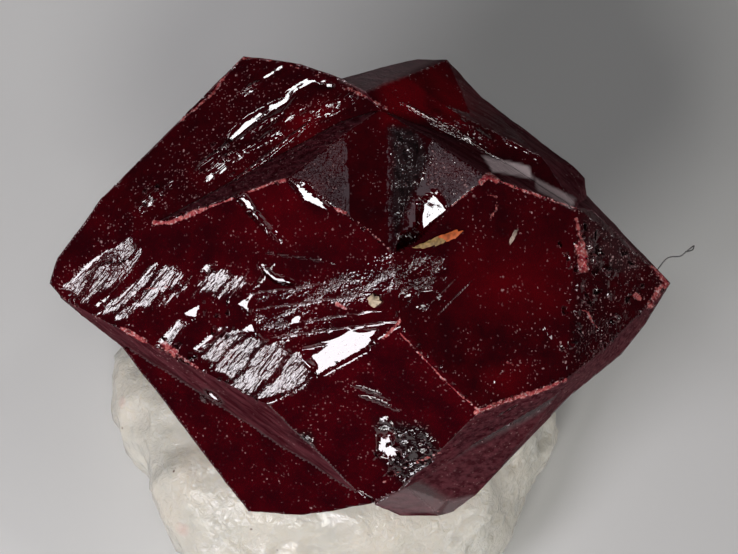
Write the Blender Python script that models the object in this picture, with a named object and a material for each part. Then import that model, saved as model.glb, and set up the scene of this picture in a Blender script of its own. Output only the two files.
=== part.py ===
"""Twinned cinnabar crystal standing on a lump of white mineral tack.

The crystal is drawn face on, in millimetres: x runs to the right, y up its face and z out towards the
eye, from the middle of the specimen. It is then scaled to metres and leaned back onto the tack, whose
flat underside is at height zero, below the crystal's middle.
"""

import math
import random

import bmesh
import bpy
from mathutils import Matrix, Vector, noise

for leftover in list(bpy.data.objects):
    bpy.data.objects.remove(leftover)

MM = 0.001

# Driving dimensions, millimetres and degrees.
CRYSTAL_LENGTH = 18.0
CREST_HEIGHT = 4.8
LEAN_BACK = 20.0
CRYSTAL_MIDDLE_HEIGHT = 8.4
TACK_RADIUS = 6.15
TACK_THICKNESS = 5.0
TACK_CENTRE = (-0.5, -1.8)
SEAT_GAP = 0.3
SEED = 11

HALF_LENGTH = CRYSTAL_LENGTH / 2
WELD = 1e-5
STEP_MARGIN = 0.08
ICOSAHEDRON_DEPTH = 0.79
FLAT_WITHIN = math.radians(0.6)


def face_through(a, b, c):
    """The height of the flat face through three corners, as a function of the place on the drawing."""
    a, b, c = Vector(a), Vector(b), Vector(c)
    normal = (b - a).cross(c - a)

    def corner(x, y, sunk=0.0):
        return (x, y, a.z - (normal.x * (x - a.x) + normal.y * (y - a.y)) / normal.z - sunk)

    return corner


def hull_of(corners):
    """The convex body whose corners these are."""
    form = bmesh.new()
    for place in corners:
        form.verts.new(place)
    hull = bmesh.ops.convex_hull(form, input=form.verts, use_existing_faces=False)
    spare = {v for v in hull["geom_interior"] if isinstance(v, bmesh.types.BMVert)}
    bmesh.ops.delete(form, geom=list(spare), context="VERTS")
    bmesh.ops.dissolve_limit(form, angle_limit=FLAT_WITHIN, verts=form.verts, edges=form.edges)
    bmesh.ops.recalc_face_normals(form, faces=form.faces)
    return form


def helper(name, form):
    """A guide object for a Boolean, left out of the part."""
    mesh = bpy.data.meshes.new(name)
    form.to_mesh(mesh)
    form.free()
    guide = bpy.data.objects.new(name, mesh)
    guide.hide_render = True
    guide.display_type = "WIRE"
    bpy.context.scene.collection.objects.link(guide)
    return guide


def joined(name, first, others, operation="UNION"):
    """The first form with the others added to it or cut from it, as one new mesh."""
    whole = helper(name + "_stock", first)
    tools = [helper(name + "_tool", form) for form in others]
    for tool in tools:
        step = whole.modifiers.new("step", "BOOLEAN")
        step.operation = operation
        step.solver = "MANIFOLD"
        step.object = tool
    graph = bpy.context.evaluated_depsgraph_get()
    result = bmesh.new()
    result.from_mesh(bpy.data.meshes.new_from_object(whole.evaluated_get(graph)))
    for guide in [whole] + tools:
        bpy.data.objects.remove(guide)
    return result


def drop_loose_bits(form):
    """Keeps only the piece that the first corner of the largest face belongs to."""
    largest = max(form.faces, key=lambda face: face.calc_area())
    kept, edge_of_search = {largest}, [largest]
    while edge_of_search:
        for edge in edge_of_search.pop().edges:
            new = [face for face in edge.link_faces if face not in kept]
            kept.update(new)
            edge_of_search += new
    bmesh.ops.delete(form, geom=[face for face in form.faces if face not in kept], context="FACES")


def half_turned(*corners, shrink=0.97):
    """The same corners on the back of the crystal, turned half round about its long axis."""
    return [(shrink * x, -shrink * y, -shrink * z) for x, y, z in corners]


# Crystal, front individual: two broad faces that meet on a short crest, cut off by a stepped window
# at the top, a rough end facet to the right and a smooth one below.

WEST_TIP = (-HALF_LENGTH, 0.05, 0.0)
EAST_TIP = (HALF_LENGTH, 0.05, 0.0)
CREST_TOP = (0.95, 0.90, CREST_HEIGHT)
CREST_FOOT = (1.15, -1.15, CREST_HEIGHT)
west_face = face_through(WEST_TIP, CREST_TOP, CREST_FOOT)
east_face = face_through(CREST_TOP, CREST_FOOT, (6.15, 0.60, 2.45))

west_chin = west_face(-8.67, -0.38)
west_shoulder = west_face(-5.87, 1.80)
west_notch = west_face(-2.02, 3.06)
west_heel = west_face(-2.66, -3.41)
east_notch = east_face(3.67, 3.09)
east_shoulder = east_face(6.21, 2.22)
east_heel = east_face(3.41, -3.58)
east_ridge = east_face(5.92, -2.70)

WINDOW_TOP = (0.60, 5.03, 2.83)
WINDOW_TOP_LEFT = (-0.38, 4.38, 3.12)
WINDOW_TOP_RIGHT = (2.02, 4.16, 3.25)
window_left = west_face(-0.27, 1.92)
window_right = east_face(2.48, 2.17)

below_face = face_through(CREST_FOOT, west_heel, east_heel)
below_left = below_face(-0.06, -5.98)
below_notch = below_face(0.38, -6.26)
below_right = below_face(1.20, -5.84)

rough_face = face_through(east_shoulder, east_ridge, EAST_TIP)
EAST_RIM = [(6.65, 2.20, 1.85), (8.26, -1.16, -0.10), (7.57, -2.02, 0.10), (6.73, -2.56, 0.40)]

# The walls that drop from the front individual's edges run on, out of sight, into the outer ones.
upper_left_wall = face_through(west_shoulder, west_notch, WINDOW_TOP_LEFT)
window_wall = face_through(WINDOW_TOP_LEFT, WINDOW_TOP, upper_left_wall(-0.75, 4.95))
lower_right_wall = face_through(east_heel, east_ridge, (4.62, -3.81, 1.90))
lower_left_wall = face_through(west_chin, west_heel, (-2.31, -4.39, 1.35))
RIGHT_WALL_FOOT = (4.24, 3.87, 1.82)

FRONT_INDIVIDUAL = [
    WEST_TIP, EAST_TIP, CREST_TOP, CREST_FOOT, west_chin, west_shoulder, west_notch, west_heel,
    east_notch, east_shoulder, east_heel, east_ridge,
    WINDOW_TOP, WINDOW_TOP_LEFT, WINDOW_TOP_RIGHT, window_left, window_right,
    below_left, below_notch, below_right, rough_face(6.99, -1.88), rough_face(8.00, -0.43), *EAST_RIM,
    upper_left_wall(-6.40, 2.60), upper_left_wall(-0.90, 5.20), window_wall(0.20, 5.60),
    RIGHT_WALL_FOOT, (0.95, 5.60, 1.40), (6.45, 2.70, 0.80),
    lower_right_wall(4.90, -4.15), lower_left_wall(-2.45, -4.60),
    lower_left_wall(-8.09, -0.87), lower_left_wall(-7.51, -1.30), lower_left_wall(-6.88, -1.82),
    (-0.10, -6.05, 1.00), (1.20, -6.00, 1.20),
    *half_turned(CREST_TOP, CREST_FOOT, west_shoulder, west_notch, west_heel, east_notch, east_shoulder,
                 east_heel, east_ridge, WINDOW_TOP, below_left, below_right),
]

# Crystal, left outer individuals: a streaked face above the front one and a smooth face below it.

UPPER_LEFT_CORNER = (-3.38, 6.62, 0.25)
LOWER_LEFT_CORNER = (-3.24, -6.56, 0.00)
LOWER_LEFT_KNEE = (-6.88, -1.82, 0.10)
streaked_face = face_through(west_shoulder, WINDOW_TOP, UPPER_LEFT_CORNER)
lower_left_face = face_through(LOWER_LEFT_KNEE, below_left, LOWER_LEFT_CORNER)

UPPER_LEFT_INDIVIDUAL = [
    WEST_TIP, west_shoulder, WINDOW_TOP, UPPER_LEFT_CORNER, streaked_face(-1.73, 6.39),
    streaked_face(-0.43, 5.90), streaked_face(-7.48, 2.51), (-8.75, 0.78, 0.10),
    *half_turned(LOWER_LEFT_CORNER, LOWER_LEFT_KNEE, lower_left_face(-1.59, -6.50), below_left, west_heel,
                 (-2.0, 0.0, 2.8), (0.4, -0.6, 3.2)),
]
LOWER_LEFT_INDIVIDUAL = [
    LOWER_LEFT_KNEE, below_left, LOWER_LEFT_CORNER, lower_left_face(-1.59, -6.65),
    lower_left_face(0.36, -6.27), lower_left_face(-3.00, -3.40), lower_left_face(-5.50, -2.00),
    *half_turned(streaked_face(-3.0, 6.3), streaked_face(-0.43, 5.90), WINDOW_TOP, west_notch,
                 (-5.6, 1.6, 1.3), (-2.3, 0.5, 2.7), (0.3, -0.2, 3.0)),
]

# Crystal, right outer individuals: strips above, split by a sparkling ridge, and steep strips below.

RIDGE_START = (1.30, 6.01, 2.10)
strip_face = face_through(WINDOW_TOP, east_shoulder, RIDGE_START)
UPPER_RIGHT_CORNER = (2.50, 6.52, 0.95)
UPPER_RIGHT_STEP = (3.50, 5.43, 1.05)
UPPER_RIM = [UPPER_RIGHT_STEP, (4.62, 4.55, 1.15), (6.13, 3.44, 1.15), (6.47, 3.09, 1.10),
             (6.53, 2.60, 1.30)]
LOWER_RIM = [(6.60, -2.66, 0.60), (5.49, -3.70, 0.80), (4.62, -4.62, 0.75), (3.90, -5.45, 0.70),
             (3.32, -6.10, 0.65), (2.70, -6.55, 0.60), (2.25, -6.66, 0.70), (1.16, -6.66, 0.80)]

lower_strip = face_through((6.05, -2.75, 2.15), (1.30, -5.80, 2.10), (4.62, -4.62, 0.75))

TOP_RIGHT_INDIVIDUAL = [
    WINDOW_TOP, RIDGE_START, UPPER_RIGHT_CORNER, UPPER_RIGHT_STEP, (0.14, 5.58, 2.62), (-0.55, 5.92, 1.80),
    (0.87, 6.33, 1.40), (1.68, 6.50, 1.10), strip_face(2.31, 5.20), strip_face(3.40, 4.40),
    *half_turned((2.3, -6.4, 0.7), (3.4, -5.2, 0.7), (0.4, -6.2, 1.6), (2.4, -0.6, 3.0), (0.3, 1.0, 3.2)),
]
RIGHT_INDIVIDUAL = [
    WINDOW_TOP, east_shoulder, strip_face(2.31, 5.20), strip_face(3.76, 4.13), strip_face(5.23, 3.67),
    lower_strip(1.30, -5.80), (0.43, -6.30, 1.60), lower_strip(6.05, -2.75), lower_strip(3.60, -4.00),
    *UPPER_RIM, *LOWER_RIM,
    *half_turned((3.9, -5.0, 0.7), (5.9, 2.6, 1.15), (6.3, -2.3, 0.9), (2.3, 6.3, 0.9), (0.9, 6.1, 1.9),
                 east_heel, east_notch, below_right, (2.6, -0.4, 2.9), (0.5, 0.7, 3.1)),
]


def step_on(face, start, end, width, rise):
    """A growth step: a long low wedge that climbs to one edge and drops from it, its ends tapered off."""
    start, end = Vector(start), Vector(end)
    along = (end - start).normalized() * width
    across = Vector((-along.y, along.x))
    foot = [face(p.x, p.y, STEP_ROOT) for p in (start, end, start + across, end + across)]
    ends = [face(p.x, p.y, STEP_FADE) for p in (start - along, end + along)]
    crest = [start + along + across / 4, end - along + across / 4]
    return hull_of(foot + ends + [face(p.x, p.y, -rise) for p in crest])


def fragment_at(place, size, dice):
    """A small angular body, for a splintered pit or a broken lump."""
    corners = []
    for _ in range(FRAGMENT_CORNERS):
        way = Vector([dice.gauss(0, 1) for axis in "xyz"]).normalized()
        corners.append(Vector(place) + way * size * dice.uniform(*FRAGMENT_REACH))
    return hull_of(corners)


STEP_ROOT = 0.12
STEP_FADE = 0.01
STEP_WANDER = 0.08
FRAGMENT_CORNERS = 9
FRAGMENT_REACH = (0.7, 1.0)
FRAGMENT_SIZES = (0.6, 1.2)

# Growth steps: the face they lie on, where the first starts and ends, how far each next one is moved,
# how many there are, and their width and rise.
STEP_RUNS = (
    (west_face, (-8.15, -0.20), (-7.05, 1.05), (0.42, -0.14), 5, 0.24, 0.055),
    (west_face, (-5.35, -0.65), (-4.55, 0.45), (0.50, 0.00), 5, 0.26, 0.050),
    (west_face, (-4.45, -2.10), (-3.65, -1.10), (0.38, -0.16), 5, 0.22, 0.060),
    (west_face, (-3.40, -0.35), (-0.20, 0.10), (0.30, -0.42), 4, 0.34, 0.090),
    (west_face, (-2.85, 0.85), (-0.90, 0.55), (0.95, 0.08), 1, 0.20, 0.080),
    (west_face, (-1.90, -1.90), (0.40, -1.35), (-0.60, -0.45), 2, 0.40, 0.070),
    (east_face, (1.15, -0.75), (2.35, 0.45), (0.45, -0.15), 3, 0.24, 0.050),
    (streaked_face, (-4.60, 3.35), (-2.20, 5.20), (0.85, -0.50), 3, 0.30, 0.050),
    (streaked_face, (-3.30, 5.55), (-2.20, 6.15), (0.75, -0.30), 2, 0.24, 0.050),
    (strip_face, (1.30, 5.20), (3.40, 4.05), (0.70, -0.62), 2, 0.22, 0.045),
    (below_face, (0.55, -4.90), (1.30, -4.30), (0.30, -0.42), 4, 0.26, 0.070),
    (below_face, (-0.10, -2.95), (0.80, -3.30), (0.25, -0.30), 2, 0.22, 0.050),
    (lower_right_wall, (2.75, -4.55), (4.70, -3.40), (0.20, -0.05), 2, 0.16, 0.140),
    (lower_strip, (1.90, -5.75), (3.00, -5.15), (0.14, -0.26), 3, 0.20, 0.110),
)

# Bruised edges: from where to where, how many chips are broken out and their size.
BRUISED_EDGES = (
    (west_shoulder, west_notch, 11, 0.11),
    (west_notch, window_left, 4, 0.10),
    (window_left, CREST_TOP, 4, 0.08),
    (CREST_TOP, east_notch, 6, 0.08),
    (east_notch, east_shoulder, 6, 0.12),
    (CREST_FOOT, east_heel, 7, 0.10),
    (east_heel, east_ridge, 8, 0.13),
    (west_chin, west_heel, 14, 0.12),
    (west_heel, CREST_FOOT, 7, 0.10),
    (UPPER_LEFT_CORNER, streaked_face(-7.48, 2.51), 8, 0.09),
    (rough_face(6.99, -1.88), EAST_TIP, 5, 0.12),
)

# Broken places: the middle on the face, the spread and how many chips and lumps lie there.
CHIPPED_PATCHES = (
    (rough_face, (7.20, 0.60), 1.10, 16, 12, 0.24),
    (rough_face, (6.60, -1.10), 0.80, 8, 8, 0.20),
    (east_face, (6.00, 1.00), 0.45, 4, 3, 0.20),
    (below_face, (1.00, -4.85), 0.55, 9, 5, 0.20),
    (west_face, (-5.25, -1.85), 0.45, 5, 2, 0.18),
    (west_face, (-3.90, -0.75), 0.80, 5, 5, 0.15),
    (streaked_face, (-5.95, 2.55), 0.30, 3, 3, 0.13),
    (streaked_face, (-4.05, 3.60), 0.55, 5, 4, 0.14),
)


def relief_tools(dice):
    """(what is added, what is cut away): growth steps, broken lumps and chips."""
    added, cut = [], []
    for face, start, end, shift, count, width, rise in STEP_RUNS:
        for i in range(count):
            wander = Vector([dice.uniform(-STEP_WANDER, STEP_WANDER) for axis in "xy"])
            moved = Vector(shift) * i + wander
            added.append(step_on(face, Vector(start) + moved, Vector(end) + moved, width, rise))
    for a, b, count, size in BRUISED_EDGES:
        for i in range(count):
            place = Vector(a).lerp(Vector(b), (i + dice.random()) / count)
            cut.append(fragment_at(place, size * dice.uniform(*FRAGMENT_SIZES), dice))
    for face, middle, spread, chips, lumps, size in CHIPPED_PATCHES:
        for i in range(chips + lumps):
            x, y = (at + dice.uniform(-spread, spread) for at in middle)
            reach = size * dice.uniform(*FRAGMENT_SIZES)
            fragment = fragment_at(face(x, y, reach / 4), reach, dice)
            (cut if i < chips else added).append(fragment)
    return added, cut


def crystal_form():
    """The twin: five convex individuals grown through each other, with re-entrant angles between them."""
    dice = random.Random(SEED)
    outer = (UPPER_LEFT_INDIVIDUAL, LOWER_LEFT_INDIVIDUAL, TOP_RIGHT_INDIVIDUAL, RIGHT_INDIVIDUAL)
    added, cut = relief_tools(dice)
    form = joined("twin", hull_of(FRONT_INDIVIDUAL), [hull_of(corners) for corners in outer] + added)
    form = joined("chipped", form, cut, "DIFFERENCE")
    drop_loose_bits(form)
    bmesh.ops.remove_doubles(form, verts=form.verts, dist=WELD)
    bmesh.ops.dissolve_limit(form, angle_limit=FLAT_WITHIN, verts=form.verts, edges=form.edges)
    return form


# Mineral tack: a kneaded lump, flat underneath, dimpled by fingers, with the crystal's print on top.

TACK_DETAIL = 4
TACK_BODY_HEIGHT = 1.95
TACK_HALF_HEIGHT = TACK_THICKNESS - TACK_BODY_HEIGHT
TACK_FULLNESS = 0.82
# How coarse the kneaded lumps are, per millimetre, and how high.
TACK_LUMPS = ((0.22, 0.55), (0.55, 0.22), (1.30, 0.08))
# Finger dents and bulges round the side: direction in degrees, depth and spread in radians.
TACK_SIDE = ((203, -0.55, 0.25), (333, -0.35, 0.20), (262, -0.30, 0.18), (166, 0.28, 0.30), (8, 0.25, 0.35))


def tack_reach(turn):
    """How far the lump reaches sideways in this direction, before kneading."""
    reach = TACK_RADIUS
    for middle, height, spread in TACK_SIDE:
        off = math.remainder(turn - math.radians(middle), math.tau)
        reach += height * math.exp(-((off / spread) ** 2))
    return reach


def tack_form():
    """The lump without the print, in millimetres, its underside at height zero."""
    form = bmesh.new()
    bmesh.ops.create_icosphere(form, subdivisions=TACK_DETAIL, radius=1.0)
    for v in form.verts:
        way = v.co.normalized()
        side = Vector((way.x, way.y, 0.0))
        level = max(side.length, WELD)
        kneaded = sum(size * noise.noise(way * TACK_RADIUS * fineness) for fineness, size in TACK_LUMPS)
        out = side / level * level**TACK_FULLNESS
        body = out * tack_reach(math.atan2(way.y, way.x)) + Vector((0, 0, way.z * TACK_HALF_HEIGHT))
        v.co = body + way * kneaded + Vector((*TACK_CENTRE, TACK_BODY_HEIGHT))
    parts = form.verts[:] + form.edges[:] + form.faces[:]
    bmesh.ops.bisect_plane(form, geom=parts, dist=WELD, plane_co=(0, 0, 0), plane_no=(0, 0, -1), clear_outer=True)
    bmesh.ops.holes_fill(form, edges=[e for e in form.edges if e.is_boundary])
    bmesh.ops.recalc_face_normals(form, faces=form.faces)
    return form


def grown(corners, gap):
    """The convex body of these corners with a margin all round."""
    ball = bmesh.new()
    bmesh.ops.create_icosphere(ball, subdivisions=1, radius=gap / ICOSAHEDRON_DEPTH)
    spots = [Vector(corner) + v.co for corner in corners for v in ball.verts]
    ball.free()
    return hull_of(spots)


def placed_tack():
    """The lump with the crystal's print, in metres."""
    prints = [grown(corners, SEAT_GAP + STEP_MARGIN) for corners in
              (FRONT_INDIVIDUAL, UPPER_LEFT_INDIVIDUAL, LOWER_LEFT_INDIVIDUAL, RIGHT_INDIVIDUAL)]
    for form in prints:
        bmesh.ops.transform(form, matrix=crystal_place(), verts=form.verts)
    form = joined("tack", tack_form(), prints, "DIFFERENCE")
    bmesh.ops.transform(form, matrix=Matrix.Scale(MM, 4), verts=form.verts)
    return form


def crystal_place():
    """Leans the drawing back and lifts it over the tack, still in millimetres."""
    lift = Matrix.Translation((0.0, 0.0, CRYSTAL_MIDDLE_HEIGHT))
    return lift @ Matrix.Rotation(math.radians(LEAN_BACK), 4, "X")


def placed_crystal():
    """The crystal in its place, in metres."""
    form = crystal_form()
    bmesh.ops.transform(form, matrix=Matrix.Scale(MM, 4) @ crystal_place(), verts=form.verts)
    return form


def make_material(name, colour, roughness):
    material = bpy.data.materials.new(name)
    material.use_nodes = True
    material.diffuse_color = (*colour, 1.0)
    shader = material.node_tree.nodes["Principled BSDF"]
    shader.inputs["Base Color"].default_value = (*colour, 1.0)
    shader.inputs["Roughness"].default_value = roughness
    shader.inputs["Metallic"].default_value = 0.0
    return material


def make_node(name, form, material, parent):
    mesh = bpy.data.meshes.new(name)
    form.to_mesh(mesh)
    form.free()
    mesh.materials.append(material)
    node = bpy.data.objects.new(name, mesh)
    bpy.context.scene.collection.objects.link(node)
    node.parent = parent
    return node


specimen = bpy.data.objects.new("specimen", None)
bpy.context.scene.collection.objects.link(specimen)

cinnabar_red = make_material("cinnabar_red", (0.24, 0.006, 0.014), 0.12)
tack_white = make_material("tack_white", (0.80, 0.77, 0.70), 0.45)

make_node("cinnabar_crystal", placed_crystal(), cinnabar_red, specimen)
putty_mount = make_node("putty_mount", placed_tack(), tack_white, specimen)
putty_mount.data.shade_smooth()
putty_mount.data.set_sharp_from_angle(angle=math.radians(40))
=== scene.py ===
"""A twinned cinnabar crystal on a lump of white mineral tack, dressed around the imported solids."""

import math

import bmesh
import bpy
from mathutils import Matrix, Vector, noise
from mathutils.bvhtree import BVHTree


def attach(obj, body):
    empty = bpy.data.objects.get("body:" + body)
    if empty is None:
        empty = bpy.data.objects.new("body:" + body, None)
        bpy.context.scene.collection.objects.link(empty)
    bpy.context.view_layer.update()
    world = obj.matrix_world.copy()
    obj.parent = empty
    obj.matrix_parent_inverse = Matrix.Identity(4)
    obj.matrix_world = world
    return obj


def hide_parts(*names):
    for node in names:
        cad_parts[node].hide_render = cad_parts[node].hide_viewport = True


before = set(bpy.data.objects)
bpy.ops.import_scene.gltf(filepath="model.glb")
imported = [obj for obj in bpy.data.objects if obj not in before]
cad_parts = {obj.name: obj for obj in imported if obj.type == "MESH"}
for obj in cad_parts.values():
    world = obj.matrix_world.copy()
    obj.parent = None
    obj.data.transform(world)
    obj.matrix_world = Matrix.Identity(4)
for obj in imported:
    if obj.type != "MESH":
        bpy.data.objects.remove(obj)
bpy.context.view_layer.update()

# The crystal: one piece of cinnabar grown as a penetration twin, broken off its matrix. It is drawn as
# it faces the eye, in millimetres: x to the right, y up its face, z out of it, and stands leaned back on
# the tack. Its solid gets a fine mesh here, with the growth relief that the plain facets leave out.

MM = 0.001
LEAN_BACK = math.radians(20)
MIDDLE_HEIGHT = 8.4
# Its fine mesh: how far apart the points lie, how near two of them are one, how flat two faces meet to
# be one at first, how far a face is turned to the eye to get the points, and where an edge is sharp.
GRID = 0.07
WELD = 0.001
FLAT_WITHIN = math.radians(0.3)
FACING = 0.12
SHARP = math.radians(15)

standing = (
    Matrix.Translation((0, 0, MIDDLE_HEIGHT * MM))
    @ Matrix.Rotation(LEAN_BACK, 4, "X")
    @ Matrix.Scale(MM, 4)
)
drawing = standing.inverted()


def copied_form(node):
    """The node's mesh as one welded form, turned into the drawing's millimetres."""
    form = bmesh.new()
    form.from_mesh(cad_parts[node].data)
    bmesh.ops.transform(form, matrix=drawing, verts=form.verts)
    bmesh.ops.remove_doubles(form, verts=form.verts, dist=WELD)
    form.normal_update()
    return form


def sliced(form, faces, axis, places):
    """Cuts the faces at these places along the axis, the middle place first and then each half."""
    if not faces or not places:
        return
    middle = len(places) // 2
    across = [0.0, 0.0, 0.0]
    across[axis] = 1.0
    at = [0.0, 0.0, 0.0]
    at[axis] = places[middle]
    edges = list({e for f in faces for e in f.edges})
    corners = list({v for f in faces for v in f.verts})
    cut = bmesh.ops.bisect_plane(
        form, geom=faces + edges + corners, dist=WELD, plane_co=at, plane_no=across
    )
    halves = ([], [])
    for part in cut["geom"]:
        if isinstance(part, bmesh.types.BMFace):
            halves[part.calc_center_median()[axis] > places[middle]].append(part)
    sliced(form, halves[0], axis, places[:middle])
    sliced(form, halves[1], axis, places[middle + 1 :])


def gridded(form, step):
    """Gives the faces that face the eye a grid of points this far apart."""
    bmesh.ops.dissolve_limit(form, angle_limit=FLAT_WITHIN, verts=form.verts, edges=form.edges)
    form.normal_update()
    for axis in (0, 1):
        reach = max(abs(v.co[axis]) for v in form.verts)
        count = int(reach / step)
        faces = [face for face in form.faces if face.normal.z > FACING]
        sliced(form, faces, axis, [step * (k + 0.5) for k in range(-count, count)])
    bmesh.ops.triangulate(form, faces=form.faces)
    form.normal_update()


def finished_piece(name, form, sharp_from):
    """The form as an object at the origin, its place in its mesh, in metres."""
    bmesh.ops.transform(form, matrix=standing, verts=form.verts)
    mesh = bpy.data.meshes.new(name)
    form.to_mesh(mesh)
    form.free()
    mesh.shade_smooth()
    mesh.set_sharp_from_angle(angle=sharp_from)
    piece = bpy.data.objects.new(name, mesh)
    bpy.context.scene.collection.objects.link(piece)
    return piece


# A clean chip is bare of every mark, this far round its outline too.
CLEARANCE = 0.07


def off_run(x, y, start, end):
    """How far this place lies from the straight run between two points."""
    (ax, ay), (bx, by) = start, end
    run = (bx - ax) ** 2 + (by - ay) ** 2
    t = min(1.0, max(0.0, ((x - ax) * (bx - ax) + (y - ay) * (by - ay)) / run))
    return math.hypot(x - ax - t * (bx - ax), y - ay - t * (by - ay))


class Place:
    """A place on the crystal's face, drawn by points, that reaches this far round them."""

    def __init__(self, points, strength, reach):
        self.points = points
        self.strength = strength
        self.low = [min(p[k] for p in points) - reach for k in (0, 1)]
        self.high = [max(p[k] for p in points) + reach for k in (0, 1)]

    def reaches(self, x, y):
        return self.low[0] < x < self.high[0] and self.low[1] < y < self.high[1]


class Patch(Place):
    """An outlined place, with an edge this soft and this strong inside."""

    def __init__(self, outline, soft, strength=1.0):
        super().__init__(outline, strength, soft + CLEARANCE)
        self.soft = soft

    def cover(self, x, y, margin=0.0):
        """Its strength well inside, 0 outside, with the outline moved out by the margin."""
        if not self.reaches(x, y):
            return 0.0
        within = False
        nearest = math.inf
        for (ax, ay), (bx, by) in zip(self.points, self.points[1:] + self.points[:1]):
            if (ay > y) != (by > y) and x < ax + (bx - ax) * (y - ay) / (by - ay):
                within = not within
            nearest = min(nearest, off_run(x, y, (ax, ay), (bx, by)))
        inside = margin + (nearest if within else -nearest)
        return self.strength * min(1.0, max(0.0, 0.5 + inside / self.soft))


class Line(Place):
    """A line that fades out at this width, and this strong in its middle."""

    def __init__(self, points, width, strength=1.0):
        super().__init__(points, strength, width)
        self.width = width

    def cover(self, x, y):
        if not self.reaches(x, y):
            return 0.0
        nearest = min(off_run(x, y, *run) for run in zip(self.points, self.points[1:]))
        return self.strength * (1.0 - min(nearest, self.width) / self.width)


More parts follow.
